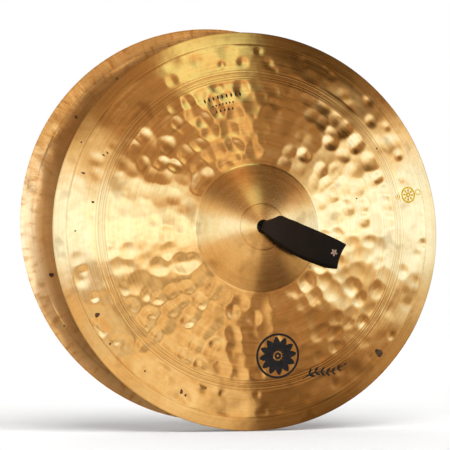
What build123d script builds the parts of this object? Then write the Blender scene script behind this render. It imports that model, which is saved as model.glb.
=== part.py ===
from build123d import *
import os
from math import cos, hypot, radians, sin

os.makedirs("parts", exist_ok=True)

# A pair of 20 inch orchestral hand cymbals in playing position, hollow sides facing each other.
# Millimetres, +Z up. Each cymbal is built with its hole's mouth at the origin and its bell
# towards -Y. The front one stays there; the rear one is the same thing turned half round.

# --- cymbal ------------------------------------------------------------------------------
CYMBAL_R = 254.0            # 20 inch diameter
HOLE_R = 6.5
BELL_R = 79.0               # where the bell meets the bow
BELL_RISE = 23.0            # height of the bell above its base
BELL_MID_R = 47.0
BELL_MID_DROP = 8.2
PROFILE_H = 50.0            # from the rim plane to the hole's mouth
BOW_CROWN = 2.5             # how far the bow bulges past a straight cone
THICK_CENTRE = 1.7
THICK_EDGE = 1.1

# --- how the pair stands -----------------------------------------------------------------
RIM_GAP = 40.0              # between the two rim planes
REAR_DX = -35.0
REAR_DZ = 10.5
STRAP_ANGLE = 21.7          # how far the strap points below +X

# --- strap -------------------------------------------------------------------------------
LEATHER = 2.6
LOOP_L = 102.0              # from the fold at the hole to the tip of the loop
LOOP_W = 37.0
LOOP_ROOT_W = 13.0
LOOP_FLARE_L = 20.0         # where the loop reaches its full width
LOOP_START = 6.6
LOOP_HALF_ROOT = 3.2        # half thickness of the two layers together, at three stations
LOOP_HALF_MID = 9.6
LOOP_HALF_TIP = 5.0
LOOP_TILT = 6.0             # how far the loop stands off the plane of the cymbal
FOLD_H = 8.0                # height of the fold above the hole's mouth
KNUCKLE_R = 4.5
KNUCKLE_L = 12.0
SOFT_GAP = 0.3              # leather to bronze, and moving leather to still leather
NECK_OUTSIDE_R = 5.2

# --- knot of four tails inside the bell --------------------------------------------------
TAIL_W = 7.4
TAIL_T = 2.2
TAIL_OFFSET = 5.6           # each tail runs this far beside the hole's axis
TAIL_END = 46.0
TAIL_CLIMB = 6.4            # how far the tail's end follows the hollow of the bell
KNOT_LIFT = 1.6             # from the middle of the bell's inner face up to the knot
WEAVE_GAP = 0.5
TAIL_COUNT = 4


def place(shape, side):
    """Puts a piece of one cymbal where the front or the rear cymbal has it."""
    if side == "front":
        return shape
    rear_y = 2 * PROFILE_H + RIM_GAP
    return Pos(REAR_DX, rear_y, REAR_DZ) * Rot(0, 0, 180) * shape


def aimed(shape):
    """Turns a strap piece from +X to the direction in which the strap points."""
    return Rot(0, STRAP_ANGLE, 0) * shape


def thickness(radius):
    return THICK_CENTRE + (THICK_EDGE - THICK_CENTRE) * radius / CYMBAL_R


def surface_line(inner):
    """The outer or inner line of the section, from the hole to the rim."""
    bow_mid_r = (BELL_R + CYMBAL_R) / 2
    bow_mid_y = (BELL_RISE + PROFILE_H) / 2 - BOW_CROWN
    stations = [
        (HOLE_R, 0.0),
        (BELL_MID_R, BELL_MID_DROP),
        (BELL_R, BELL_RISE),
        (bow_mid_r, bow_mid_y),
        (CYMBAL_R, PROFILE_H),
    ]
    if inner:
        stations = [(r, y + thickness(r)) for r, y in stations]
    bell = ThreePointArc(*stations[0:3])
    bow = ThreePointArc(*stations[2:5])
    return bell, bow


def cymbal():
    bell_out, bow_out = surface_line(inner=False)
    bell_in, bow_in = surface_line(inner=True)
    hole_wall = Line(bell_out @ 0, bell_in @ 0)
    rim_edge = Line(bow_out @ 1, bow_in @ 1)
    section = make_face([bell_out, bow_out, rim_edge, bow_in, bell_in, hole_wall])
    return revolve(section, Axis.Y)


def strap_loop():
    """The hand loop: two layers of leather that part in the middle and fold at the tip."""
    mid = LOOP_L * 0.55
    root_hi = (LOOP_START, LOOP_HALF_ROOT)
    root_lo = (LOOP_START, -LOOP_HALF_ROOT)
    fold_s = LOOP_L - LOOP_HALF_TIP
    upper = ThreePointArc(root_hi, (mid, LOOP_HALF_MID), (fold_s, LOOP_HALF_TIP))
    fold = ThreePointArc((fold_s, LOOP_HALF_TIP), (LOOP_L, 0), (fold_s, -LOOP_HALF_TIP))
    lower = ThreePointArc((fold_s, -LOOP_HALF_TIP), (mid, -LOOP_HALF_MID), root_lo)
    root = Line(root_lo, root_hi)
    outline = make_face([upper, fold, lower, root])
    band = outline - offset(outline, -LEATHER)
    half_w = LOOP_W / 2
    body = extrude(band, half_w, both=True)
    plan = Polyline(
        (LOOP_START - 1, -LOOP_ROOT_W / 2),
        (LOOP_FLARE_L, -half_w),
        (LOOP_L + 1, -half_w),
        (LOOP_L + 1, half_w),
        (LOOP_FLARE_L, half_w),
        (LOOP_START - 1, LOOP_ROOT_W / 2),
        close=True,
    )
    plan_solid = extrude(Plane.XZ * make_face(plan), 2 * LOOP_HALF_MID, both=True)
    tilted = Rot(0, 0, -LOOP_TILT) * (body & plan_solid)
    return aimed(Pos(0, -FOLD_H, 0) * tilted)


def strap_neck():
    """The four tails bunched in the hole, and the fold that the loop bends over."""
    inner_end = thickness(0) + KNOT_LIFT
    through = Plane.XZ.offset(-inner_end) * Circle(HOLE_R - SOFT_GAP)
    stem = extrude(through, inner_end + 1)
    outside = Plane.XZ * Circle(NECK_OUTSIDE_R)
    stem += extrude(outside, FOLD_H)
    knuckle = Pos(0, -FOLD_H, 0) * Cylinder(KNUCKLE_R, KNUCKLE_L)
    return aimed(stem + knuckle)


def strap_tail(index):
    """One tail of the crown knot: under one neighbour, over the next, out along the bell."""
    base = thickness(0) + KNOT_LIFT + TAIL_T / 2
    over = base + TAIL_T + WEAVE_GAP
    crossing_in = TAIL_OFFSET - TAIL_W / 2
    crossing_out = TAIL_OFFSET + TAIL_W / 2
    path = FilletPolyline(
        (-crossing_out, base),
        (-crossing_in, base),
        (crossing_in, over),
        (crossing_out, over),
        (TAIL_END * 0.37, over - TAIL_T * 0.2),
        (TAIL_END * 0.7, over + TAIL_CLIMB * 0.3),
        (TAIL_END, over + TAIL_CLIMB),
        radius=1.2,
    )
    section = trace(path, line_width=TAIL_T)
    strip = Pos(0, 0, TAIL_OFFSET) * extrude(section, TAIL_W / 2, both=True)
    return aimed(Rot(0, index * 360 / TAIL_COUNT, 0) * strip)


def report_clearances(pieces):
    """Prints the room between leather and bronze."""
    for name, shape in pieces.items():
        if name != "front_cymbal" and name.startswith("front"):
            gap = shape.distance_to(pieces["front_cymbal"])
            print(f"{name} to bronze: {gap:.2f} mm")


def main():
    pieces = {}
    for side in ("front", "rear"):
        pieces[f"{side}_cymbal"] = place(cymbal(), side)
        pieces[f"{side}_strap_loop"] = place(strap_loop(), side)
        pieces[f"{side}_strap_neck"] = place(strap_neck(), side)
        for index in range(TAIL_COUNT):
            pieces[f"{side}_strap_tail_{index + 1}"] = place(strap_tail(index), side)
    for name, shape in pieces.items():
        export_step(shape, f"parts/{name}.step")
    report_clearances(pieces)
    across = (sin(radians(STRAP_ANGLE)), 0, cos(radians(STRAP_ANGLE)))
    print("fold axis of the front strap:", [round(-c, 4) for c in across])
    print("offset of the rear axis:", round(hypot(REAR_DX, REAR_DZ), 1))


main()
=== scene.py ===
"""Looks of a pair of orchestral hand cymbals: hammered, lathed bronze and black leather straps."""
import math
import random

import bpy
import numpy as np
from mathutils import Matrix, Vector


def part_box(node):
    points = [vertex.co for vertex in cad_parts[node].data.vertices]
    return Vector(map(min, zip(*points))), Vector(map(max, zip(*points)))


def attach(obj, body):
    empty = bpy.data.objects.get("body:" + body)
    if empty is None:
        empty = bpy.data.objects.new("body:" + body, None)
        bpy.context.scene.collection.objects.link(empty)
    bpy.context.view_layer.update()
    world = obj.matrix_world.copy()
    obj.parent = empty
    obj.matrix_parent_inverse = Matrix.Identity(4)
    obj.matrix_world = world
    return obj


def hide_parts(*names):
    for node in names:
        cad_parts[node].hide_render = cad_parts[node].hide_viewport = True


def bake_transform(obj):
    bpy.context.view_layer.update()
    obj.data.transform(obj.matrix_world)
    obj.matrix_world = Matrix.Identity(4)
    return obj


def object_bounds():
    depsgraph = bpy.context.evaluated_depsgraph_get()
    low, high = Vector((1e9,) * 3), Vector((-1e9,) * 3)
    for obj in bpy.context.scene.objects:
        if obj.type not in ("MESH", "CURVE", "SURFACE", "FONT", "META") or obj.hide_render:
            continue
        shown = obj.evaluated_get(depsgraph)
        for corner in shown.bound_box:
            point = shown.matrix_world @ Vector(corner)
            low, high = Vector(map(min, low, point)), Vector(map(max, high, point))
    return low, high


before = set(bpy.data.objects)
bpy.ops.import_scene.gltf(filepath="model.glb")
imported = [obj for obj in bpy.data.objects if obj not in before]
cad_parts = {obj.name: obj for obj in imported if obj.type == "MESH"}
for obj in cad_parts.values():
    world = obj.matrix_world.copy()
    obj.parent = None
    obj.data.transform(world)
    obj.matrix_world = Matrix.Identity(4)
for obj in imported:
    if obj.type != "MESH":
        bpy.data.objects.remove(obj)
CAD_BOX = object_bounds()

MM = 0.001
SIDES = ("front", "rear")

# --- cymbal, in the CAD part's own sizes, metres ---
CYMBAL_R = 254 * MM
HOLE_R = 6.5 * MM
BELL_R = 79 * MM
BELL_RISE = 23 * MM
BELL_MID = (47 * MM, 8.2 * MM)
PROFILE_H = 50 * MM
BOW_CROWN = 2.5 * MM
THICK_CENTRE = 1.7 * MM
THICK_EDGE = 1.1 * MM
BELL_FILLET = 3.5 * MM
CROWN_STEP_R = 28.6 * MM
CROWN_STEP = 0.3 * MM
STEP_HALF = 0.8 * MM  # half the width of the step's slope
BAND_IN = 190.5 * MM  # the band of lathe grooves between bow and edge
BAND_OUT = 203.7 * MM
GROOVE_PITCH = 2.64 * MM
GROOVE_DEPTH = 0.06 * MM
GROOVE_DRIFT = 0.16  # how unevenly the grooves are spaced, as a share of the pitch
GROOVE_SWELL = 0.4  # how unevenly deep they are
GROOVE_BEAT = 2.7  # the spacing and depth vary over this many grooves
EDGE_LINE_R = 238 * MM  # one more groove, inside the plain edge
EDGE_LINE_DEPTH = 0.10 * MM
EDGE_LINE_HALF = 0.9 * MM
EDGE_LEAN = math.radians(2.0)  # the plain edge leans back this much more than the bow

# --- strap ---
STRAP_ANGLE = math.radians(21.7)
LEATHER = 2.6 * MM
RAGGED = 0.35 * MM  # how far the cut edges wander

# --- knot ---
TAIL_W = 7.4 * MM
TAIL_T = 2.2 * MM
TAIL_OFFSET = 5.6 * MM
TAIL_COUNT = 4
TAIL_REACH = 46  # millimetres from the axis, and every second tail is shorter
TAIL_STAGGER = 3
KNOT_LIFT = 1.6 * MM
WEAVE_GAP = 0.5 * MM

# --- camera ---
CAMERA_AT = (-0.4882, -1.6149, -0.1321)
CAMERA_AIM = (-0.0354, 0.05, 0.00495)
CAMERA_LENS = 109.4
CAMERA_SENSOR = 36


# === places ===
def cymbal_origin(side):
    """The mouth of a cymbal's hole, read from the frame."""
    lo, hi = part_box(f"{side}_cymbal")
    y = lo.y if side == "front" else hi.y
    return Vector(((lo.x + hi.x) / 2, y, (lo.z + hi.z) / 2))


def placing(side):
    """Matrix from one cymbal's own frame (bell towards -Y) to the row frame."""
    turn = Matrix.Identity(4) if side == "front" else Matrix.Rotation(math.pi, 4, "Z")
    return Matrix.Translation(cymbal_origin(side)) @ turn


def strap_frame(side):
    """Matrix from the strap's frame (+X along the strap) to the row frame."""
    return placing(side) @ Matrix.Rotation(STRAP_ANGLE, 4, "Y")


# === mesh helpers ===
def new_mesh(name, verts, faces, material, smooth=True):
    mesh = bpy.data.meshes.new(name)
    mesh.from_pydata([tuple(v) for v in verts], [], faces)
    mesh.validate()
    mesh.update()
    if smooth:
        mesh.polygons.foreach_set("use_smooth", [True] * len(mesh.polygons))
    obj = bpy.data.objects.new(name, mesh)
    bpy.context.scene.collection.objects.link(obj)
    mesh.materials.append(material)
    return obj


def smoothstep(x, lo, hi):
    t = np.clip((x - lo) / (hi - lo), 0, 1)
    return t * t * (3 - 2 * t)


# === surface of the cymbal ===
def arc_height(p0, p1, p2):
    """Height as a function of radius, on the circle through three points of the section."""
    (ax, ay), (bx, by), (cx, cy) = p0, p1, p2
    d = 2 * (ax * (by - cy) + bx * (cy - ay) + cx * (ay - by))
    sa, sb, sc = ax * ax + ay * ay, bx * bx + by * by, cx * cx + cy * cy
    ux = (sa * (by - cy) + sb * (cy - ay) + sc * (ay - by)) / d
    uy = (sa * (cx - bx) + sb * (ax - cx) + sc * (bx - ax)) / d
    radius = math.hypot(ax - ux, ay - uy)
    return lambda r: uy - np.sqrt(radius * radius - (r - ux) ** 2)


BOW_MID = ((BELL_R + CYMBAL_R) / 2, (BELL_RISE + PROFILE_H) / 2 - BOW_CROWN)
bell_arc = arc_height((HOLE_R, 0), BELL_MID, (BELL_R, BELL_RISE))
bow_arc = arc_height((BELL_R, BELL_RISE), BOW_MID, (CYMBAL_R, PROFILE_H))


def slope_of(curve, r):
    step = 0.1 * MM
    return (curve(r + step) - curve(r - step)) / (2 * step)


def smooth_profile(r):
    """Outer section without hammering: bell, fillet, bow."""
    y = np.where(r < BELL_R, bell_arc(np.minimum(r, BELL_R)), bow_arc(np.maximum(r, BELL_R)))
    bend = slope_of(bow_arc, BELL_R + MM) - slope_of(bell_arc, BELL_R - MM)
    x = np.clip(r - BELL_R, -BELL_FILLET, BELL_FILLET)
    fillet = bend * (x + BELL_FILLET) ** 2 / (4 * BELL_FILLET) - bend * np.maximum(x, 0)
    return y + fillet


def lathe_relief(r):
    """The step on the crown, the groove band and the line inside the plain edge."""
    step = -CROWN_STEP * (1 - smoothstep(r, CROWN_STEP_R - STEP_HALF, CROWN_STEP_R + STEP_HALF))
    band = smoothstep(r, BAND_IN, BAND_IN + MM) * (1 - smoothstep(r, BAND_OUT - MM, BAND_OUT))
    groove = (r - BAND_IN) / GROOVE_PITCH
    beat = np.sin(2 * math.pi * groove / GROOVE_BEAT)
    swell = GROOVE_DEPTH * (1 + GROOVE_SWELL * beat)
    waves = swell * (1 - np.cos(2 * math.pi * (groove + GROOVE_DRIFT * beat)))
    line = EDGE_LINE_DEPTH * np.exp(-((r - EDGE_LINE_R) / EDGE_LINE_HALF) ** 2)
    lean = math.tan(EDGE_LEAN) * np.maximum(r - EDGE_LINE_R, 0)
    return step + band * waves + line + lean


# The hammering, with lengths in millimetres. Pairs are the lowest and highest of a random range,
# and a third value is the most common one.
ANY_ANGLE = (0, 6.28)
OVAL = (0.75, 1.0)
WAVE_COUNT = 10  # long shallow waves under the single blows
WAVE_LENGTH = (55, 130)
WAVE_SIZE = (0.1, 0.26)
DISH_ROWS = (94, 112, 131, 150, 168, 184)
DISH_PITCH = 23
DISH_WANDER = (-6, 6)
DISH_SIZE = (10.5, 17)
DISH_DEPTH = (0.08, 1.15, 0.5)
STRAY_COUNT = 190
STRAY_ZONE = (90, 230)
STRAY_SIZE = (5, 11)
STRAY_DEPTH = (0.05, 0.16)
EDGE_COUNT = 84
EDGE_SIZE = (7, 17)
EDGE_DEPTH = (0.08, 0.75, 0.3)
EDGE_CLEAR = 4  # the blows stop this far inside the plain edge
DISH_BOWL = 1.35  # a higher power makes a narrower middle
DENT_BOWL = 2
RIDGE_POWER = 3  # a higher power makes a sharper ridge between two dishes
BAND_CALM = 0.6  # share of the hammering that the lathe took off the groove band
EDGE_WAVES = 0.3  # share of it left on the plain edge

# How hard the hammer fell round the disc, as (degrees, share), on the bow and near the edge.
BOW_FORCE = ((0, 1.0), (20, 1.2), (45, 1.35), (70, 0.5), (85, 0.5), (105, 1.1), (145, 1.4), (166, 0.35),
             (195, 0.35), (212, 1.25), (250, 1.1), (275, 0.55), (295, 0.6), (325, 1.15), (360, 1.0))
EDGE_FORCE = ((0, 1.3), (40, 1.7), (60, 0.8), (80, 0.7), (100, 1.1), (130, 0.6), (165, 0.6),
              (196, 0.7), (208, 1.4), (245, 2.0), (265, 1.2), (295, 0.8), (325, 1.7), (360, 1.3))


def force_at(table, angle):
    """Share of the full depth at an angle in radians."""
    degrees = np.degrees(angle) % 360
    return np.interp(degrees, [row[0] for row in table], [row[1] for row in table])


class Hammering:
    """Dents of one cymbal face, as a height added along +Y at any point of the face."""

    def __init__(self, seed, plain_edge=EDGE_LINE_R):
        rng = random.Random(seed)
        self.plain_edge = plain_edge
        self.dishes = []
        self.dents = []
        self.waves = []
        for _ in range(WAVE_COUNT):
            length = rng.uniform(*WAVE_LENGTH) * MM
            heading = rng.uniform(0, math.pi)
            size = rng.uniform(*WAVE_SIZE) * MM
            self.waves.append((heading, 2 * math.pi / length, rng.uniform(*ANY_ANGLE), size))
        self.rows(rng)
        self.strays(rng)
        self.edge_marks(rng)

    def blow(self, rng, radius, angle, size, depth):
        """One hammer mark: place, size, how oval it is, its heading and its depth."""
        x, z = radius * math.cos(angle), radius * math.sin(angle)
        return (x, z, size, rng.uniform(*OVAL), rng.uniform(0, math.pi), depth)

    def rows(self, rng):
        """Rows of touching dishes from the bell to the groove band."""
        for radius in DISH_ROWS:
            count = round(2 * math.pi * radius / DISH_PITCH)
            start = rng.uniform(*ANY_ANGLE)
            for k in range(count):
                r = (radius + rng.uniform(*DISH_WANDER)) * MM
                a = start + (k + rng.uniform(-0.3, 0.3)) * 2 * math.pi / count
                size = rng.uniform(*DISH_SIZE) * MM
                depth = rng.triangular(*DISH_DEPTH) * force_at(BOW_FORCE, a) * MM
                self.dishes.append(self.blow(rng, r, a, size, depth))

    def strays(self, rng):
        """Smaller blows all over the bow, some of them raised."""
        for _ in range(STRAY_COUNT):
            r = rng.uniform(*STRAY_ZONE) * MM
            depth = rng.choice((-1, 1)) * rng.uniform(*STRAY_DEPTH) * MM
            a = rng.uniform(*ANY_ANGLE)
            self.dents.append(self.blow(rng, r, a, rng.uniform(*STRAY_SIZE) * MM, depth))

    def edge_marks(self, rng):
        """Dents between the groove band and the plain edge."""
        for k in range(EDGE_COUNT):
            r = rng.uniform(BAND_OUT, self.plain_edge - EDGE_CLEAR * MM)
            a = (k + rng.uniform(-0.5, 0.5)) * 2 * math.pi / EDGE_COUNT
            size = rng.uniform(*EDGE_SIZE) * MM
            depth = rng.triangular(*EDGE_DEPTH) * force_at(EDGE_FORCE, a) * MM
            self.dents.append(self.blow(rng, r, a, size, depth))

    def shapes(self, blows, x, z):
        """Which points each blow reaches, and how far inside it they are: 1 middle, 0 edge."""
        for dx, dz, size, aspect, heading, depth in blows:
            near = np.nonzero((abs(x - dx) < size) & (abs(z - dz) < size))[0]
            if len(near) == 0:
                continue
            px, pz = x[near] - dx, z[near] - dz
            u = (px * math.cos(heading) + pz * math.sin(heading)) / size
            v = (pz * math.cos(heading) - px * math.sin(heading)) / (size * aspect)
            yield near, np.clip(1 - u * u - v * v, 0, 1), depth

    def height(self, x, z):
        """How far the hammer pushed the face along +Y, at points given as arrays."""
        r = np.hypot(x, z)
        waves = np.zeros_like(r)
        for heading, number, phase, size in self.waves:
            waves += size * np.sin(number * (x * math.cos(heading) + z * math.sin(heading)) + phase)
        waves *= smoothstep(r, BELL_R, BELL_R + 25 * MM) * force_at(BOW_FORCE, np.arctan2(z, x)) ** 0.7
        dished = np.zeros_like(r)  # where dishes overlap, the ridge between is rounded
        for near, inside, depth in self.shapes(self.dishes, x, z):
            dished[near] += (depth * inside ** DISH_BOWL) ** RIDGE_POWER
        total = waves + dished ** (1 / RIDGE_POWER)
        for near, inside, depth in self.shapes(self.dents, x, z):
            total[near] += depth * inside ** DENT_BOWL
        clear_of_bell = smoothstep(r, BELL_R + 1.5 * MM, BELL_R + 9 * MM)
        clear_of_band = 1 - BAND_CALM * smoothstep(r, BAND_IN - 4 * MM, BAND_IN) * (
            1 - smoothstep(r, BAND_OUT, BAND_OUT + 4 * MM))
        clear_of_edge = 1 - smoothstep(r, self.plain_edge - EDGE_CLEAR * MM, self.plain_edge + 3 * MM)
        return total * clear_of_bell * clear_of_band * np.maximum(clear_of_edge, EDGE_WAVES)


THROUGH = 0.75  # share of the outer face's blows that shows on the hollow side
OWN_BLOWS = 0.7  # share of the blows that fell on the hollow side itself
BAND_THROUGH = 0.4


class Face:
    """Both faces of one cymbal: height at any point, with all the relief."""

    def __init__(self, seed):
        self.hammering = Hammering(seed)
        self.back_hammering = Hammering(seed + 100, plain_edge=CYMBAL_R - 4 * MM)

    def outer(self, x, z):
        r = np.hypot(x, z)
        return smooth_profile(r) + lathe_relief(r) + self.hammering.height(x, z)

    def inner(self, x, z):
        r = np.hypot(x, z)
        thick = THICK_CENTRE + (THICK_EDGE - THICK_CENTRE) * r / CYMBAL_R
        relief = THROUGH * self.hammering.height(x, z) - OWN_BLOWS * self.back_hammering.height(x, z)
        band = -BAND_THROUGH * lathe_relief(r) * (r > BELL_R)
        return smooth_profile(r) + thick + relief + band


FACES = {"front": Face(seed=7), "rear": Face(seed=23)}


def span(start, stop, step):
    """Even places from start up to stop, which is left out."""
    count = max(2, round((stop - start) / step) + 1)
    return list(np.linspace(start, stop, count))[:-1]


def ring_radii(fine):
    """Radii of the rings of one face; the outer face is the fine one."""
    bell, bow, band = (2.6, 2.1, 0.5) if fine else (4.0, 2.9, 1.6)
    zones = (  # where each zone starts, and its step in millimetres
        (HOLE_R + 0.4 * MM, bell),
        (CROWN_STEP_R - MM, 0.5),
        (CROWN_STEP_R + MM, bell),
        (BELL_R - BELL_FILLET, 1.0),
        (BELL_R + BELL_FILLET, bow),
        (BAND_IN, band),
        (BAND_OUT, bow),
        (EDGE_LINE_R - 2 * MM, 0.6),
        (EDGE_LINE_R + 2 * MM, 2.6),
        (CYMBAL_R - 1.2 * MM, None),
    )
    radii = []
    for (start, step), (stop, _) in zip(zones[:-1], zones[1:]):
        radii += span(start, stop, step * MM)
    return radii + [CYMBAL_R - 1.2 * MM, CYMBAL_R - 0.6 * MM, CYMBAL_R - 0.25 * MM]


INNER_RING = 120  # vertices in a ring near the hole
RIM_SHARES = {"rim_a": 0.28, "rim_b": 0.72}  # of the way from the outer face to the inner one


def ring_size(radius):
    """Vertices in a ring: doubled outwards so that the quads stay near square."""
    if radius < 20 * MM:
        return INNER_RING
    if radius < BELL_R - 8 * MM:
        return 2 * INNER_RING
    return 4 * INNER_RING


def stitch(faces, inner_start, inner_count, outer_start, outer_count, flip):
    """Faces between two rings, the outer one of the same size or twice as many vertices."""
    for i in range(inner_count):
        j = (i + 1) % inner_count
        if inner_count == outer_count:
            made = [(inner_start + i, inner_start + j, outer_start + j, outer_start + i)]
        else:
            a, b, c = (outer_start + k % outer_count for k in (2 * i, 2 * i + 1, 2 * i + 2))
            p, q = inner_start + i, inner_start + j
            made = [(p, b, a), (p, q, b), (q, c, b)]
        faces += [f[::-1] for f in made] if flip else made


def cymbal_mesh(side, material):
    """One closed shell: outer face, rounded rim, inner face and the wall of the hole."""
    face = FACES[side]
    outer, inner = ring_radii(True), ring_radii(False)
    rings = [(r, "outer") for r in outer]
    rings += [(CYMBAL_R, kind) for kind in RIM_SHARES]
    rings += [(r, "inner") for r in reversed(inner)]
    verts, starts, counts = [], [], []
    for radius, kind in rings:
        n = ring_size(radius)
        a = np.arange(n) * 2 * math.pi / n
        x, z = radius * np.cos(a), radius * np.sin(a)
        if kind == "outer":
            y = face.outer(x, z)
        elif kind == "inner":
            y = face.inner(x, z)
        else:
            share = RIM_SHARES[kind]
            y = face.outer(x, z) * (1 - share) + face.inner(x, z) * share
        starts.append(len(verts))
        counts.append(n)
        verts += list(np.stack([x, y, z], 1))
    faces = []
    for k in range(len(rings)):
        m = (k + 1) % len(rings)
        if counts[k] <= counts[m]:
            stitch(faces, starts[k], counts[k], starts[m], counts[m], flip=False)
        else:
            stitch(faces, starts[m], counts[m], starts[k], counts[k], flip=True)
    obj = new_mesh(f"{side}_cymbal_bronze", verts, faces, material)
    obj.data.transform(placing(side))
    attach(obj, f"{side}_cymbal")
    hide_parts(f"{side}_cymbal")


# === materials ===
class Nodes:
    """Shorthand for building a node tree."""

    def __init__(self, tree):
        self.tree = tree

    def add(self, kind, *values, **settings):
        """A new node with some settings, and its inputs fed in order."""
        node = self.tree.nodes.new(kind)
        for key, value in settings.items():
            setattr(node, key, value)
        for value, socket in zip(values, node.inputs):
            self.feed(value, socket)
        return node

    def feed(self, value, socket):
        """Link an output to a socket, or set the socket to a number, a vector or a colour."""
        if isinstance(value, bpy.types.NodeSocket):
            self.tree.links.new(value, socket)
        else:
            socket.default_value = (*value, 1) if socket.type == "RGBA" else value

    def math(self, operation, *values):
        return self.add("ShaderNodeMath", *values, operation=operation).outputs[0]

    def times(self, first, second):
        return self.math("MULTIPLY", first, second)

    def sum(self, first, second):
        return self.math("ADD", first, second)

    def split(self, vector):
        return self.add("ShaderNodeSeparateXYZ", vector).outputs

    def join(self, *parts):
        return self.add("ShaderNodeCombineXYZ", *parts).outputs[0]

    def vector(self, operation, *values):
        node = self.add("ShaderNodeVectorMath", *values, operation=operation)
        return node.outputs["Value" if operation in ("LENGTH", "DISTANCE") else "Vector"]

    def place(self, kind="Object"):
        return self.add("ShaderNodeTexCoord").outputs[kind]

    def noise(self, vector, scale, detail=3.0, dimensions="3D"):
        node = self.add("ShaderNodeTexNoise", noise_dimensions=dimensions)
        node.inputs["Scale"].default_value = scale
        node.inputs["Detail"].default_value = detail
        self.feed(vector, node.inputs["W" if dimensions == "1D" else "Vector"])
        return node.outputs["Fac"]

    def ramp(self, value, stops):
        node = self.add("ShaderNodeValToRGB", value)
        elements = node.color_ramp.elements
        while len(elements) < len(stops):
            elements.new(0.5)
        for element, (place, _) in zip(elements, stops):
            element.position = place
        for element, (_, colour) in zip(elements, stops):
            element.color = (*colour, 1)
        return node.outputs["Color"]

    def rise(self, value, start, stop, low=0.0, high=1.0):
        """Grey, from low at start to high at stop, and level beyond them."""
        return self.ramp(value, [(start, grey(low)), (stop, grey(high))])

    def bump(self, height, distance, strength=1.0, below=None):
        node = self.add("ShaderNodeBump")
        node.inputs["Strength"].default_value = strength
        node.inputs["Distance"].default_value = distance
        self.feed(height, node.inputs["Height"])
        if below is not None:
            self.feed(below, node.inputs["Normal"])
        return node.outputs["Normal"]


def new_material(name):
    material = bpy.data.materials.new(name)
    material.use_nodes = True
    nodes = Nodes(material.node_tree)
    shader = material.node_tree.nodes["Principled BSDF"]
    return material, nodes, shader


def grey(value):
    return (value, value, value)


def line_mask(n, radius, lines):
    """1 on thin rings, given as (radius, half width), and 0 between them."""
    stops = []
    for middle, half in lines:
        stops += [((middle - half) / CYMBAL_R, grey(0)), (middle / CYMBAL_R, grey(1)),
                  ((middle + half) / CYMBAL_R, grey(0))]
    return n.ramp(n.math("DIVIDE", radius, CYMBAL_R), stops)


def groove_mask(n, radius):
    """0 to 1 into the bottom of each groove of the band."""
    groove = n.math("DIVIDE", n.math("SUBTRACT", radius, BAND_IN), GROOVE_PITCH)
    beat = n.math("SINE", n.times(groove, 2 * math.pi / GROOVE_BEAT))
    drifted = n.math("MULTIPLY_ADD", beat, GROOVE_DRIFT, groove)
    wave = n.math("MULTIPLY_ADD", n.math("COSINE", n.times(drifted, 2 * math.pi)), -0.5, 0.5)
    inside = n.times(n.math("GREATER_THAN", radius, BAND_IN), n.math("LESS_THAN", radius, BAND_OUT))
    return n.times(wave, inside)


def blend_colours(n, factor, first, second, blend="MIX"):
    """The second colour laid over the first one; each is given or linked."""
    node = n.add("ShaderNodeMix", data_type="RGBA", blend_type=blend)
    for name, value in (("Factor", factor), ("A", first), ("B", second)):
        n.feed(value, node.inputs[name])
    return node.outputs["Result"]


# Bronze colours, and colours that others are multiplied by.
METAL_DEEP = (0.86, 0.56, 0.24)
METAL = (0.93, 0.64, 0.30)
METAL_PALE = (0.96, 0.69, 0.35)
PATINA = (0.84, 0.72, 0.56)
STAIN = (0.55, 0.33, 0.13)
# painted shade for the grooves, the rings and the rim
GROOVE_SHADE = (0.36, 0.20, 0.07)
HOLLOW_WARMTH = (1.0, 0.86, 0.66)
# painted shade at the top and foot of the hollow side
HOLLOW_SHADE = (0.55, 0.43, 0.33)
# painted highlight along the rim of the hollow side
RIM_HIGHLIGHT = (0.97, 0.86, 0.60)
RIM_FLECKS = ((0.34, (0.74, 0.62, 0.48)), (0.46, (0.96, 0.92, 0.85)), (0.60, grey(1.0)))


def on_disc(n, side):
    """Place on the disc, without its height, and distance from the disc's axis."""
    place = n.place()
    moved = n.vector("SUBTRACT", place, cymbal_origin(side))
    flat = n.vector("MULTIPLY", moved, (1, 0, 1))
    return flat, n.vector("LENGTH", flat)


def drawn_noise(n, flat, radius, outwards, around):
    """Noise with its own scale outwards and around the disc."""
    heading = n.vector("MULTIPLY", n.vector("NORMALIZE", flat), (around, 0, around))
    return n.noise(n.vector("ADD", heading, n.join(0.0, n.times(radius, outwards))), 1.0, 2.0)


def lathed_colour(n, flat, radius, arcs, tool_marks, patina):
    """Bronze with tool marks, patina, stains, and painted shade in the grooves, the rings and along the
    rim.
    """
    colour = n.ramp(tool_marks, [(0.30, METAL_DEEP), (0.50, METAL), (0.72, METAL_PALE)])
    blotch = n.rise(patina, 0.46, 0.68, high=0.5)
    colour = blend_colours(n, blotch, colour, PATINA, "MULTIPLY")
    stains = n.rise(n.noise(flat, 31.0, 2.0), 0.60, 0.70, high=0.6)
    colour = blend_colours(n, stains, colour, STAIN)
    # painted shade: darker in the crown step, the bell's fillet and the edge line, and in the grooves
    # of the band
    rings = line_mask(n, radius, ((CROWN_STEP_R, 1.0 * MM), (BELL_R, 0.8 * MM),
                                  (EDGE_LINE_R, EDGE_LINE_HALF)))
    dark = n.math("MAXIMUM", n.times(rings, 0.4),
                  n.times(groove_mask(n, radius), n.times(arcs, 0.6)))
    # painted shade along the rim, at full strength
    dark = n.math("MAXIMUM", dark, line_mask(n, radius, ((CYMBAL_R, 1.6 * MM),)))
    return blend_colours(n, dark, colour, GROOVE_SHADE)


def hollow_mask(n, side):
    """1 on the hollow side of the shell, 0 on its outer face."""
    facing = n.split(n.place("Normal"))["Y"]
    return n.math("GREATER_THAN", n.times(facing, 1.0 if side == "front" else -1.0), 0.0)


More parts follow.
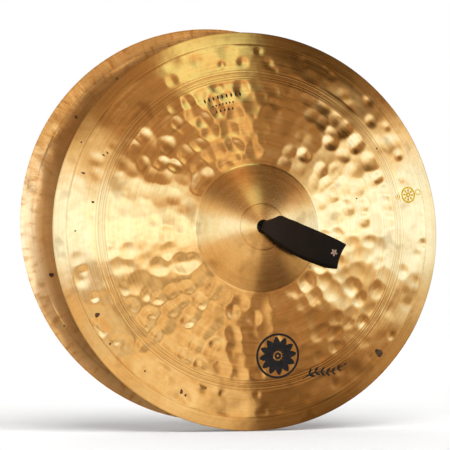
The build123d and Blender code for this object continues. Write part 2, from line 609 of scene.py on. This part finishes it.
def hollow_colour(n, flat, share, hollow, colour):
    """A warmer hollow side with painted shade at its top and foot and a painted highlight along its
    rim; also returns the mask of that highlight.
    """
    colour = blend_colours(n, hollow, colour, HOLLOW_WARMTH, "MULTIPLY")
    above = n.math("DIVIDE", n.split(flat)["Z"], CYMBAL_R)
    below = n.times(above, -1.0)
    # painted shade at the top and the foot of the hollow side, with less of it near the rim
    top = n.rise(above, 0.02, 0.40)
    foot = n.rise(below, 0.16, 0.42, high=0.5)
    rim = n.rise(share, 0.885, 0.945)
    painted_shade = n.times(n.times(n.math("MAXIMUM", top, foot), hollow),
                      n.math("MULTIPLY_ADD", rim, -0.6, 1.0))
    colour = blend_colours(n, painted_shade, colour, HOLLOW_SHADE, "MULTIPLY")
    # painted highlight: a pale strip along the rim of the hollow side, fading towards its top and foot;
    # pale is its mask
    not_top = n.rise(above, 0.02, 0.40, low=0.5, high=0.0)
    not_foot = n.rise(below, 0.20, 0.50, low=1.0, high=0.1)
    pale = n.times(n.times(rim, hollow), n.times(not_top, not_foot))
    return blend_colours(n, pale, colour, RIM_HIGHLIGHT), pale


def bronze(side):
    """Lathed and hammered bronze: concentric tool marks, blotchy patina, painted shade in the grooves
    and along the rim, and on the hollow side painted shade at top and foot and a painted rim highlight.
    """
    material, n, shader = new_material(f"{side}_bronze")
    shader.inputs["Anisotropic"].default_value = 0.7
    shader.inputs["Anisotropic Rotation"].default_value = 0.25
    flat, radius = on_disc(n, side)
    share = n.math("DIVIDE", radius, CYMBAL_R)

    arcs = drawn_noise(n, flat, radius, outwards=520.0, around=3.2)
    turns = n.noise(radius, 210.0, 4.0, "1D")
    tool_marks = n.sum(n.times(arcs, 0.6), n.times(turns, 0.4))
    broad = n.noise(flat, 34.0, 3.0)
    speckle = n.noise(flat, 170.0, 4.0)
    patina = n.sum(n.times(broad, 0.6), n.times(speckle, 0.4))
    colour = lathed_colour(n, flat, radius, arcs, tool_marks, patina)

    hollow = hollow_mask(n, side)
    colour, pale = hollow_colour(n, flat, share, hollow, colour)
    radial = drawn_noise(n, flat, radius, outwards=60.0, around=34.0)
    near_rim = n.times(n.rise(share, 0.86, 0.95, low=0.25), hollow)
    colour = blend_colours(n, near_rim, colour, n.ramp(radial, RIM_FLECKS), "MULTIPLY")
    n.feed(colour, shader.inputs["Base Color"])

    # the hollow side is less metallic, and less again under the painted rim highlight
    metal = n.math("MULTIPLY_ADD", hollow, -0.30, 1.0)
    n.feed(n.math("MULTIPLY_ADD", pale, -0.5, metal), shader.inputs["Metallic"])
    dull = n.math("MAXIMUM", n.times(n.math("LESS_THAN", radius, BELL_R), 0.10),
                  n.times(hollow, 0.20 if side == "front" else 0.03))
    rough = n.sum(n.times(tool_marks, 0.12), n.times(patina, 0.10))
    n.feed(n.sum(n.sum(rough, dull), 0.05), shader.inputs["Roughness"])

    pebbles = n.bump(n.noise(flat, 60.0, 1.0), 1.6 * MM, 0.08)
    spokes = n.bump(n.times(radial, near_rim), 1.2 * MM, 0.25, below=pebbles)
    n.feed(n.bump(tool_marks, 0.1 * MM, 0.3, below=spokes), shader.inputs["Normal"])
    tangent = n.add("ShaderNodeTangent", direction_type="RADIAL", axis="Y").outputs[0]
    n.feed(tangent, shader.inputs["Tangent"])
    return material


# The strap's colour gradient is painted light: painted shade right at the hole's mouth, a painted sheen
# where the strap bends up from the hole, and darker towards the tip.
SHEEN_REACH = 110 * MM  # from the hole to just past the strap's tip
PAINTED_SHEEN = (  # share of that reach, and what the leather's colour is multiplied by
    (0.02, grey(0.35)), (0.13, grey(1.0)), (0.28, (0.62, 0.52, 0.42)), (0.60, (0.42, 0.36, 0.31)),
    (0.95, grey(0.20)),
)


def leather(name, dark, light, grain, sheen_from=None):
    """Black leather: fine pores and soft creases, and a strap's has a painted sheen near its hole, with
    painted shade at the hole's mouth and darker towards the tip.
    """
    material, n, shader = new_material(name)
    place = n.place()
    cells = n.add("ShaderNodeTexVoronoi", feature="DISTANCE_TO_EDGE")
    cells.inputs["Scale"].default_value = grain
    n.feed(place, cells.inputs["Vector"])
    pores = n.math("MINIMUM", n.times(cells.outputs["Distance"], 3.0), 1.0)
    creases = n.noise(place, 60.0, 5.0)
    fibre = n.noise(place, 900.0, 2.0)
    mixed = n.sum(n.times(pores, 0.45), n.times(creases, 0.55))
    colour = n.ramp(mixed, [(0.3, dark), (0.62, light)])
    if sheen_from is not None:
        # painted sheen near the hole, painted shade at its mouth, darker towards the tip
        share = n.math("DIVIDE", n.vector("DISTANCE", place, sheen_from), SHEEN_REACH)
        uneven = n.math("MULTIPLY_ADD", n.noise(place, 45.0, 3.0), 0.3, -0.15)
        sheen = n.ramp(n.sum(share, uneven), PAINTED_SHEEN)
        colour = blend_colours(n, 1.0, colour, sheen, "MULTIPLY")
    n.feed(colour, shader.inputs["Base Color"])
    rough = n.sum(n.times(creases, 0.22), 0.36)
    n.feed(rough, shader.inputs["Roughness"])
    shader.inputs["Specular IOR Level"].default_value = 0.14
    fine = n.bump(fibre, 0.1 * MM, 0.25)
    n.feed(n.bump(mixed, 0.35 * MM, 0.55, below=fine), shader.inputs["Normal"])
    return material


def ink(name, dark, light, rough):
    """Printed ink with slight unevenness."""
    material, n, shader = new_material(name)
    place = n.place()
    cloud = n.noise(place, 220.0, 4.0)
    n.feed(n.ramp(cloud, [(0.3, dark), (0.7, light)]), shader.inputs["Base Color"])
    n.feed(n.sum(n.times(cloud, 0.2), rough), shader.inputs["Roughness"])
    shader.inputs["Specular IOR Level"].default_value = 0.2
    n.feed(n.bump(cloud, 0.02 * MM, 0.3), shader.inputs["Normal"])
    return material


def floor_material():
    """Matt pale grey with broad, faint clouds."""
    material, n, shader = new_material("pale_floor")
    place = n.place()
    cloud = n.noise(place, 3.0, 2.0)
    n.feed(n.ramp(cloud, [(0.3, grey(0.86)), (0.7, grey(0.9))]), shader.inputs["Base Color"])
    shader.inputs["Roughness"].default_value = 0.8
    return material


# === leather strap ===
# Middle line of the strap in its own frame, in millimetres: (along, outwards, half width on the
# upper side, half width on the lower side). It leaves the hole, folds at the tip and comes back.
STRAP_LINE = (
    (-1.4, -2.6, 5.4, 5.4), (-1.4, 2.0, 5.5, 5.5), (-0.4, 7.5, 6.5, 7.0),
    (4.2, 11.8, 11.0, 9.0), (11.5, 14.6, 18.2, 11.0), (22, 17.2, 18.4, 14.2),
    (38, 20.4, 18.4, 17.4), (56, 22.2, 18.2, 18.8), (76, 23.2, 18.0, 18.2),
    (92, 22.8, 17.6, 16.6), (99.4, 21.2, 17.3, 15.8), (101.8, 18.4, 17.2, 15.6),
    (99.6, 15.2, 17.2, 16.2), (91, 12.2, 17.4, 18.4), (76, 9.0, 17.6, 19.4),
    (56, 6.4, 17.8, 19.2), (38, 5.4, 17.6, 17.6), (22, 5.4, 16.8, 14.0),
    (12, 5.6, 12.0, 10.0), (5.0, 4.6, 8.0, 7.0), (1.9, 1.2, 5.6, 5.6),
    (1.4, -2.6, 5.4, 5.4),
)
STRAP_STEPS = 7  # between two points of the line
TIP_DISH = 2.4 * MM  # how far the middle of the fold stands back from its corners
TIP_ZONE = 22 * MM


def catmull(points, per_span):
    """Smooth curve through a list of points of any dimension."""
    p = np.array(points, float)
    p = np.vstack([2 * p[0] - p[1], p, 2 * p[-1] - p[-2]])
    out = []
    for i in range(1, len(p) - 2):
        for t in np.arange(per_span) / per_span:
            a, b, c, d = p[i - 1:i + 3]
            out.append(0.5 * (2 * b + (c - a) * t + (2 * a - 5 * b + 4 * c - d) * t ** 2
                              + (3 * b - a - 3 * c + d) * t ** 3))
    out.append(p[-2])
    return np.array(out)


STRAP_CURVE = catmull(STRAP_LINE, STRAP_STEPS) * MM


def band_section():
    """A flat section with rounded edges, as (across, through) in -1..1."""
    across = (-0.94, -0.7, -0.45, -0.2, 0.0, 0.2, 0.45, 0.7, 0.94)
    top = [(a, 1.0) for a in across]
    right = [(0.985, 0.72), (1.0, 0.3), (1.0, -0.3), (0.985, -0.72)]
    bottom = [(-a, -1.0) for a in across]
    left = [(-a, -b) for a, b in right]
    return top + right + bottom + left


def band_mesh(name, line, upper, lower, thickness, material, shift=None):
    """A leather band swept along a line: upper and lower are its half widths along it."""
    section = band_section()
    across = np.array([0, 0, 1.0])
    verts, faces = [], []
    for k, (middle, normal) in enumerate(zip(line, plane_normals(line))):
        for a, b in section:
            half = upper[k] if a > 0 else lower[k]
            point = middle + across * (a * half) + normal * (b * thickness / 2)
            if shift is not None:
                point = point + shift(k, a)
            verts.append(point)
    m = len(section)
    for k in range(len(line) - 1):
        for i in range(m):
            j = (i + 1) % m
            faces.append((k * m + i, k * m + j, (k + 1) * m + j, (k + 1) * m + i))
    faces.append(tuple(range(m))[::-1])
    faces.append(tuple((len(line) - 1) * m + i for i in range(m)))
    return new_mesh(name, verts, faces, material)


def plane_normals(line):
    """Unit normals of a line that lies in the X-Y plane."""
    tangent = np.gradient(line, axis=0)
    tangent /= np.linalg.norm(tangent, axis=1)[:, None]
    return np.stack([-tangent[:, 1], tangent[:, 0], tangent[:, 2] * 0], 1)


def strap_piece(side, material):
    """The hand loop and its narrow ends, one piece of leather."""
    rng = random.Random(len(side))
    curve = STRAP_CURVE
    line = np.stack([curve[:, 0], -curve[:, 1], curve[:, 0] * 0], 1)
    ragged = [np.convolve([rng.uniform(-1, 1) for _ in line], np.ones(3) / 3, "same") * RAGGED
              for _ in range(2)]
    fade = smoothstep(curve[:, 2], 7 * MM, 14 * MM)
    upper = curve[:, 2] + ragged[0] * fade
    lower = curve[:, 3] + ragged[1] * fade
    tip = curve[:, 0].max()

    def dish(k, a):
        near_tip = max(0.0, 1 - (tip - curve[k, 0]) / TIP_ZONE) ** 2
        return np.array([-TIP_DISH * near_tip * (1 - a * a), 0, 0])

    obj = band_mesh(f"{side}_strap", line, upper, lower, LEATHER, material, dish)
    to_row = strap_frame(side)
    obj.data.transform(to_row)
    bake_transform(obj)
    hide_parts(f"{side}_strap_loop", f"{side}_strap_neck")


def tail_piece(side, index, material):
    """One woven tail: under one neighbour, over the next, then out along the inside of the bell."""
    rng = random.Random(index + 10 * len(side))
    base = THICK_CENTRE + KNOT_LIFT + TAIL_T / 2
    over = base + TAIL_T + WEAVE_GAP
    end = (TAIL_REACH - index % 2 * TAIL_STAGGER) * MM
    near, far = TAIL_OFFSET - TAIL_W / 2, TAIL_OFFSET + TAIL_W / 2
    points = (
        (-far, base, 0),
        (-TAIL_OFFSET, base, 0),
        (-near, base + 0.25 * MM, 0),
        (0, (base + over) / 2, 0),
        (near, over - 0.1 * MM, 0),
        (TAIL_OFFSET, over + 0.1 * MM, 0),
        (far, over, 0),
        (17 * MM, over - 0.4 * MM, rng.uniform(-0.6, 0.6) * MM),
        (25 * MM, over + 0.8 * MM, rng.uniform(-1, 1) * MM),
        (34 * MM, over + 2.6 * MM, rng.uniform(-1.5, 1.5) * MM),
        (end, over + 6.2 * MM, rng.uniform(-1.5, 1.5) * MM),
    )
    line = catmull(points, 5)
    taper = 1 - 0.55 * smoothstep(line[:, 0], end - 9 * MM, end)
    half = TAIL_W / 2 * taper
    line[:, 2] += TAIL_OFFSET
    obj = band_mesh(f"{side}_tail_{index + 1}", line, half, half, TAIL_T, material)
    turn = Matrix.Rotation(index * 2 * math.pi / TAIL_COUNT, 4, "Y")
    obj.data.transform(strap_frame(side) @ turn)
    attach(obj, f"{side}_knot")
    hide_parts(f"{side}_strap_tail_{index + 1}")


# === printed and struck marks, and casting scale ===
INK_LIFT = 0.09 * MM  # how far a mark stands over the surface, and how deep it reaches
INK_DEPTH = 0.06 * MM
MARK_LEAVES = 5
ROSETTE_LEAVES = 12
RAYS = 8


def patches(name, grids, height, away, material):
    """Thin closed patches on a surface y = height(x, z), given as rows of (x, z) in millimetres."""
    verts, faces = [], []
    for grid, closed in grids:
        rows, cols = len(grid), len(grid[0])
        flat = np.array([p for row in grid for p in row], float) * MM
        y = height(flat[:, 0], flat[:, 1])
        start = len(verts)
        for lift in (INK_LIFT * away, -INK_DEPTH * away):
            verts += list(np.stack([flat[:, 0], y + lift, flat[:, 1]], 1))
        under = rows * cols

        def at(i, j, level):
            return start + level * under + i * cols + j % cols

        def quad(corners, turned):
            faces.append(corners[::-1] if turned != (away > 0) else corners)

        last = cols if closed else cols - 1
        for i in range(rows - 1):
            for j in range(last):
                quad((at(i, j, 0), at(i, j + 1, 0), at(i + 1, j + 1, 0), at(i + 1, j, 0)), False)
                quad((at(i, j, 1), at(i + 1, j, 1), at(i + 1, j + 1, 1), at(i, j + 1, 1)), False)
        for j in range(last):
            for i, turned in ((0, False), (rows - 1, True)):
                quad((at(i, j, 0), at(i, j, 1), at(i, j + 1, 1), at(i, j + 1, 0)), turned)
        if not closed:
            for i in range(rows - 1):
                for j, turned in ((0, True), (cols - 1, False)):
                    quad((at(i, j, 0), at(i, j, 1), at(i + 1, j, 1), at(i + 1, j, 0)), turned)
    return new_mesh(name, verts, faces, material, smooth=False)


def decal(name, side, grids, material, inner=False):
    """Patches that follow a hammered face."""
    face = FACES[side]
    obj = patches(name, grids, face.inner if inner else face.outer, 1 if inner else -1, material)
    obj.data.transform(placing(side))
    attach(obj, f"{side}_cymbal")


def strap_mark(side, material):
    """A small pale five-leaved mark near the tip of the strap's outer layer."""
    upper = STRAP_CURVE[:STRAP_CURVE[:, 0].argmax()]

    def height(x, z):
        return -np.interp(x, upper[:, 0], upper[:, 1]) - LEATHER / 2

    centre = (90, 1)
    grids = [petal_grid(centre, math.radians(360 / MARK_LEAVES * k), 0.5, 4.2, 2.6, 5, 3)
             for k in range(MARK_LEAVES)]
    obj = patches(f"{side}_strap_mark", grids, height, -1, material)
    obj.data.transform(strap_frame(side))
    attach(obj, f"{side}_loop")


def petal_grid(centre, angle, start, length, width, rows=9, cols=5):
    """A leaf shape pointing away from a centre."""
    along = (math.cos(angle), math.sin(angle))
    side = (-along[1], along[0])
    grid = []
    for i in range(rows):
        t = i / (rows - 1)
        half = width / 2 * math.sin(math.pi * (0.04 + 0.92 * t)) ** 0.8
        row = []
        for j in range(cols):
            s = (2 * j / (cols - 1) - 1) * half
            d = start + length * t
            row.append((centre[0] + along[0] * d + side[0] * s,
                        centre[1] + along[1] * d + side[1] * s))
        grid.append(row)
    return grid, False


def ring_grid(centre, inner, outer, count, rows=3):
    """A flat ring, or a disc with a small hole, as a closed patch."""
    grid = []
    for i in range(rows):
        r = inner + (outer - inner) * i / (rows - 1)
        grid.append([(centre[0] + r * math.cos(a), centre[1] + r * math.sin(a))
                     for a in (2 * math.pi * k / count for k in range(count))])
    return grid, True


def stroke_grid(points, widths):
    """A pen stroke along points, with a width at each."""
    p = catmull([(*point, width) for point, width in zip(points, widths)], 6)
    tangent = np.gradient(p[:, :2], axis=0)
    tangent /= np.linalg.norm(tangent, axis=1)[:, None]
    side = np.stack([-tangent[:, 1], tangent[:, 0]], 1)
    grid = []
    for s in (-0.5, 0, 0.5):
        grid.append([tuple(q) for q in p[:, :2] + side * p[:, 2:] * s])
    return grid, False


def polar(radius, degrees):
    a = math.radians(degrees)
    return radius * math.cos(a), radius * math.sin(a)


def rosette():
    """A heavy twelve-leaved rosette in a ring."""
    centre = (29, -160)
    grids = [ring_grid(centre, 1.5, 4.5, 24), ring_grid(centre, 25.6, 28.4, 72)]
    for k in range(ROSETTE_LEAVES):
        heading = 2 * math.pi * k / ROSETTE_LEAVES + 0.13
        grids.append(petal_grid(centre, heading, 5.6, 18.6, 9.2))
    return grids


def sprig():
    """A slender stem with pairs of pointed leaves, rising to the right of the rosette."""
    start, rise, reach, bow = (64, -189), 0.30, 55, 3.0
    count = 7
    stem, widths = [], []
    for k in range(count + 1):
        share = k / count
        stem.append((start[0] + reach * share,
                     start[1] + rise * reach * share + bow * math.sin(2 * math.pi * share)))
        widths.append(1.5 - 0.8 * share)
    grids = [stroke_grid(stem, widths)]
    for k in range(1, count + 1):
        heading = math.atan2(stem[k][1] - stem[k - 1][1], stem[k][0] - stem[k - 1][0])
        leaf = 9.5 - 0.6 * k
        leans = (0,) if k == count else (-42, 42)
        for lean in leans:
            angle = heading + math.radians(lean)
            grids.append(petal_grid(stem[k], angle, 0.4, leaf, 0.36 * leaf, 7, 3))
    return grids


def bead_rows():
    """Three short rows of lozenges near the upper edge."""
    rows = (  # radius, middle angle, how many, angle between them, length, width
        (172, 104.5, 9, 2.0, 5.6, 2.6),
        (162.5, 105.2, 7, 1.6, 2.8, 2.2),
        (154.5, 105.2, 5, 2.0, 3.6, 2.2),
    )
    grids = []
    for radius, middle, count, gap, length, width in rows:
        for k in range(count):
            angle = math.radians(middle - (k - (count - 1) / 2) * gap)
            grids.append(petal_grid((0, 0), angle, radius - length / 2, length, width, 5, 3))
    return grids


def struck_emblem():
    """Rings and rays, a small ring beside them and three bars."""
    centre = polar(217, 13.1)
    grids = [ring_grid(centre, 8.6, 10.8, 36, 2), ring_grid(centre, 1.2, 3.4, 20, 2)]
    for k in range(RAYS):
        grids.append(petal_grid(centre, 2 * math.pi * k / RAYS, 3.6, 4.8, 2.8, 4, 3))
    grids.append(ring_grid(polar(232.5, 13.3), 3.0, 4.1, 20, 2))
    for k in range(3):
        foot = polar(203.5 - 2.8 * k, 11.4 + 0.4 * k)
        grids.append(petal_grid(foot, math.radians(104), 0, 12 - 3 * k, 1.4, 5, 3))
    return grids


def spot_grids(spots):
    """Uneven ovals, given as (radius, degrees, size, aspect)."""
    rng = random.Random(5)
    grids = []
    for radius, degrees, size, aspect in spots:
        cx, cz = polar(radius, degrees)
        turn = math.radians(degrees + rng.uniform(-25, 25))
        phase = rng.uniform(*ANY_ANGLE)
        grid = []
        for share in (0.06, 0.5, 1.0):
            row = []
            for k in range(20):
                a = 2 * math.pi * k / 20
                r = size * share * (1 + 0.12 * math.sin(3 * a + phase))
                u, v = r * math.cos(a), r * aspect * math.sin(a)
                row.append((cx + u * math.cos(turn) - v * math.sin(turn),
                            cz + u * math.sin(turn) + v * math.cos(turn)))
            grid.append(row)
        grids.append((grid, True))
    return grids


# Dark specks of casting scale that the lathe left in small hollows, as spot_grids takes them.
FRONT_SPOTS = (
    (231, -42.8, 6.2, 0.72), (227, -151.2, 3.3, 0.8), (233, -141.6, 1.3, 1.0),
    (226, -128, 1.3, 0.9), (224, -114.5, 3.0, 0.6), (226, -112.8, 1.7, 0.8),
    (227, 163.4, 2.6, 0.45), (208, 172, 1.9, 0.7), (209, 154.3, 1.9, 0.5), (212, 155.6, 1.9, 0.5),
    (243, 154.8, 1.1, 1.0), (227, -178.3, 1.4, 0.6), (199, 33, 1.5, 0.8), (141, 17, 1.1, 0.8),
)
REAR_SPOTS = ((226.5, 35.5, 2.2, 0.9), (224.4, -18, 3.4, 0.8), (225.6, 54.2, 1.9, 0.8),
              (238, -34, 1.6, 0.7), (214, -120, 2.6, 0.7), (190, 140, 2.0, 0.8))


# === camera, light and floor ===
CAMERA_BACK = Vector(CAMERA_AT) - Vector(CAMERA_AIM)


def add_turned(name, data, back):
    """A camera or light whose back is turned in a given direction."""
    obj = bpy.data.objects.new(name, data)
    obj.rotation_mode = "QUATERNION"
    obj.rotation_quaternion = Vector(back).to_track_quat("Z", "Y")
    bpy.context.scene.collection.objects.link(obj)
    return obj


def add_camera():
    data = bpy.data.cameras.new("camera")
    data.lens = CAMERA_LENS
    data.sensor_width = CAMERA_SENSOR
    camera = add_turned("camera", data, CAMERA_BACK)
    camera.location = CAMERA_AT
    bpy.context.scene.camera = camera


# Studio panels that the main view sees mirrored in the front face, going round it anticlockwise
# from its right: (degrees, brightness, colour). The hammered bow, the plain edge and the steep
# part of the bell lean at different slopes, so each mirrors its own ring of panels.
CREAM = (0.78, 1.0, 1.38)
STRAW = (0.87, 1.0, 1.05)
PALE = (1.0, 0.93, 0.76)
GOLD = (1.0, 0.78, 0.49)
AMBER = (1.0, 0.69, 0.37)
BROWN = (1.0, 0.57, 0.27)
RUST = (1.0, 0.5, 0.2)
YELLOW = (0.94, 1.08, 0.68)
BOW_PANELS = (
    (0, 1.85, CREAM), (22, 1.65, STRAW), (36, 1.15, PALE), (52, 0.92, GOLD), (60, 0.48, BROWN),
    (86, 0.35, BROWN), (94, 0.46, BROWN), (98, 1.02, AMBER), (110, 1.06, AMBER),
    (117, 0.56, BROWN), (146, 0.5, BROWN), (154, 0.82, AMBER), (161, 1.08, GOLD),
    (168, 1.45, STRAW), (180, 1.7, STRAW), (192, 1.6, STRAW), (200, 1.26, GOLD), (208, 1.08, GOLD),
    (218, 0.62, AMBER), (233, 1.24, GOLD), (247, 0.74, AMBER), (259, 1.2, GOLD),
    (267, 0.96, AMBER), (273, 0.5, BROWN),
    (303, 0.5, BROWN), (314, 0.56, AMBER), (323, 1.02, GOLD), (338, 1.26, PALE),
    (348, 1.65, STRAW), (360, 1.85, CREAM),
)
EDGE_PANELS = (
    (0, 1.65, CREAM), (22, 1.6, CREAM), (31, 1.2, PALE), (37, 0.6, AMBER), (45, 0.16, BROWN),
    (56, 0.02, BROWN), (72, 0.03, BROWN), (86, 0.18, BROWN), (92, 1.42, YELLOW),
    (112, 1.46, YELLOW), (119, 0.44, BROWN), (130, 0.34, BROWN), (144, 0.42, BROWN),
    (153, 0.8, GOLD), (161, 1.12, PALE), (168, 1.7, CREAM), (180, 2.0, CREAM), (192, 1.95, CREAM),
    (199, 0.84, AMBER), (206, 0.92, GOLD), (220, 1.24, PALE), (232, 0.95, GOLD), (244, 1.2, PALE),
    (268, 1.0, GOLD), (272, 0.16, BROWN),
    (301, 0.2, BROWN), (310, 0.32, BROWN), (322, 0.46, BROWN), (333, 0.66, AMBER),
    (342, 1.15, PALE), (352, 1.6, CREAM), (360, 1.65, CREAM),
)
BELL_PANELS = (
    (0, 1.5, CREAM), (18, 1.5, STRAW), (28, 1.0, GOLD), (40, 0.58, BROWN), (50, 0.32, BROWN),
    (65, 0.22, BROWN), (86, 0.19, BROWN), (96, 0.34, RUST), (105, 0.8, RUST),
    (112, 0.72, RUST), (121, 0.4, RUST), (132, 0.31, BROWN), (144, 0.33, BROWN),
    (153, 0.68, AMBER), (162, 1.1, GOLD), (171, 1.5, STRAW), (192, 1.5, STRAW),
    (196, 1.05, PALE), (200, 0.98, AMBER), (230, 0.92, AMBER), (264, 0.68, AMBER), (270, 0.22, BROWN),
    (302, 0.15, BROWN), (314, 0.5, AMBER), (335, 0.8, GOLD), (350, 1.45, STRAW), (360, 1.5, CREAM),
)
EDGE_SLOPES = (12.4, 13.4)  # degrees over which the bow's panels give way to the edge's
BELL_SLOPES = (17.0, 19.5)
FAR_SLOPES = (33, 42)  # beyond these only the room is mirrored
# Panels further round the room, as (degrees about Z, brightness, colour): two like halves.
ROOM_HALF = (
    (16, 0.50, AMBER), (24, 0.26, BROWN), (58, 0.26, BROWN), (64, 1.2, PALE), (84, 1.2, PALE),
    (92, 0.34, BROWN), (124, 0.28, BROWN), (132, 0.9, GOLD), (150, 0.9, GOLD), (158, 0.28, BROWN),
)
ROOM = (
    (0, 0.50, AMBER), *ROOM_HALF, (172, 0.50, AMBER),
    *((degrees + 180, brightness, colour) for degrees, brightness, colour in ROOM_HALF),
    (360, 0.50, AMBER),
)
PANEL_MAX = 2.9  # colour ramps hold 0 to 1, so brightness is divided by this
CLUTTER = ((0.34, grey(0.5)), (0.47, grey(0.9)), (0.64, grey(1.0)))  # unevenness of the panels
ROOM_LEVEL = (  # brightness of the room from straight down to straight up
    (0.0, grey(0.35)), (0.35, grey(0.55)), (0.5, grey(0.9)), (0.8, grey(0.9)), (0.9, grey(0.5)),
)
FILL = 0.20  # even light for the floor and the leather
SUNS = (  # name, direction towards it, strength and width in degrees
    ("front_light", (0.12, -1.0, 1.2), 2.95, 58),
    ("back_light", (-0.10, 0.75, 1.5), 0.75, 70),
    ("side_light", (-0.8, -1.0, 0.06), 3.6, 30),
)
FLOOR_HALF = 30.0
FLOOR_GAP = 0.5 * MM


def panel_ramp(n, degrees, panels):
    stops = [(a / 360, tuple(c * b / PANEL_MAX for c in colour)) for a, b, colour in panels]
    return n.ramp(degrees, stops)


def full_turn(n, up, right):
    """Angle of (right, up) as 0 to 1 of a full turn."""
    turns = n.math("DIVIDE", n.math("ARCTAN2", up, right), 2 * math.pi)
    return n.math("FRACT", n.sum(turns, 1.0))


def past(n, tilt, slopes):
    """0 below the first slope and 1 above the second, both in degrees."""
    return n.rise(tilt, slopes[0] / 180, slopes[1] / 180)


def studio_world():
    """Soft panels placed by the slope of the bronze that mirrors them into the main view."""
    world = bpy.data.worlds.new("studio")
    bpy.context.scene.world = world
    world.use_nodes = True
    tree = world.node_tree
    tree.nodes.clear()
    n = Nodes(tree)
    x, y, z = n.split(n.place("Generated"))
    behind = n.times(n.math("SIGN", y), -1.0)  # the panels behind repeat the ones in front
    facing = n.join(n.times(x, behind), n.times(n.math("ABSOLUTE", y), -1.0), z)
    slope = n.vector("NORMALIZE", n.vector("ADD", facing, CAMERA_BACK.normalized()))
    sx, sy, sz = n.split(slope)
    tilt = n.math("DIVIDE", n.math("ARCCOSINE", n.times(sy, -1.0)), math.pi)
    round_axis = full_turn(n, sz, sx)
    panels = panel_ramp(n, round_axis, BOW_PANELS)
    for slopes, table in ((EDGE_SLOPES, EDGE_PANELS), (BELL_SLOPES, BELL_PANELS)):
        panels = blend_colours(n, past(n, tilt, slopes), panels, panel_ramp(n, round_axis, table))
    panels = blend_colours(n, 1.0, panels, n.ramp(n.noise(slope, 15.0, 2.0), CLUTTER), "MULTIPLY")
    level = n.ramp(n.math("MULTIPLY_ADD", z, 0.5, 0.5), ROOM_LEVEL)
    room = blend_colours(n, 1.0, panel_ramp(n, full_turn(n, y, x), ROOM), level, "MULTIPLY")
    around = blend_colours(n, past(n, tilt, FAR_SLOPES), panels, room)
    mirrored, fill, backdrop = (
        n.add("ShaderNodeBackground", colour, strength).outputs[0]
        for colour, strength in ((around, PANEL_MAX), (grey(1.0), FILL), (grey(1.0), 1.0)))
    path = n.add("ShaderNodeLightPath").outputs
    bounced = n.math("MINIMUM", path["Diffuse Depth"], 1.0)
    lit = n.add("ShaderNodeMixShader", bounced, mirrored, fill).outputs[0]
    seen = n.add("ShaderNodeMixShader", path["Is Camera Ray"], lit, backdrop).outputs[0]
    n.add("ShaderNodeOutputWorld", seen)


def add_sun(name, towards, energy, degrees):
    """A soft light from far away, which the bronze doesn't mirror."""
    data = bpy.data.lights.new(name, "SUN")
    data.energy = energy
    data.angle = math.radians(degrees)
    add_turned(name, data, towards).visible_glossy = False


def add_floor():
    z = CAD_BOX[0].z - FLOOR_GAP
    corners = [(x * FLOOR_HALF, y * FLOOR_HALF, z) for x, y in ((-1, -1), (1, -1), (1, 1), (-1, 1))]
    floor = new_mesh("floor", corners, [(0, 1, 2, 3)], floor_material(), smooth=False)
    floor.visible_glossy = False


def main():
    bpy.context.scene.view_settings.view_transform = "Standard"
    add_camera()
    studio_world()
    for sun in SUNS:
        add_sun(*sun)
    add_floor()
    thong = leather("black_thong_leather", (0.010, 0.008, 0.008), (0.026, 0.021, 0.019), 700)
    black_ink = ink("black_ink", (0.004, 0.004, 0.005), (0.012, 0.011, 0.011), 0.45)
    scale = ink("casting_scale", (0.02, 0.010, 0.005), (0.08, 0.04, 0.018), 0.5)
    struck = ink("struck_gold", (0.30, 0.18, 0.008), (0.52, 0.33, 0.015), 0.4)
    pale_ink = ink("pale_ink", (0.15, 0.095, 0.07), (0.27, 0.18, 0.13), 0.6)
    for side in SIDES:
        cymbal_mesh(side, bronze(side))
        strap = leather(f"{side}_strap_leather", (0.007, 0.0043, 0.0027), (0.017, 0.0108, 0.0070), 900,
                        sheen_from=cymbal_origin(side))
        strap_piece(side, strap)
        for index in range(TAIL_COUNT):
            tail_piece(side, index, thong)
        strap_mark(side, pale_ink)
    decal("front_ink_ornament", "front", rosette() + sprig(), black_ink)
    decal("front_ink_beads", "front", bead_rows(), black_ink)
    decal("front_struck_emblem", "front", struck_emblem(), struck)
    decal("front_scale_spots", "front", spot_grids(FRONT_SPOTS), scale)
    decal("rear_scale_spots", "rear", spot_grids(REAR_SPOTS), scale, inner=True)


main()
